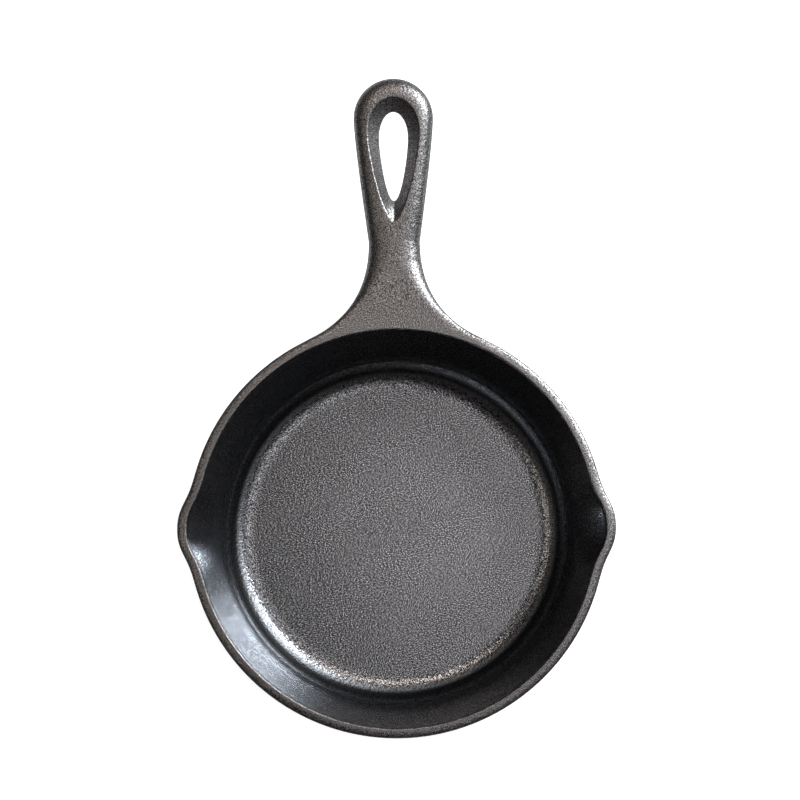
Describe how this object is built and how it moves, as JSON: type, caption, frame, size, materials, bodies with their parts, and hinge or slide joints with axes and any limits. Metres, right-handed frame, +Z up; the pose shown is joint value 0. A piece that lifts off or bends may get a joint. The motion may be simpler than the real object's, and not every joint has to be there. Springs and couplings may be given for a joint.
{
  "type": "skillet",
  "caption": "Small round cast iron skillet: flared wall, pour spouts on both sides, and a short handle ending in a loop with a teardrop hanging hole.",
  "frame": {"origin": "middle of the flat underside of the pan, on the surface that it stands on", "axes": "+Z up out of the bowl, +Y from the middle of the pan along the handle to its tip, +X to the right between the spouts"},
  "size_m": [0.1732, 0.2621, 0.04],
  "materials": {
    "seasoned_iron": "black baked-on seasoning over sand-cast grain"
  },
  "bodies": {
    "root": {"skillet_casting": "seasoned_iron"}
  },
  "joints": []
}
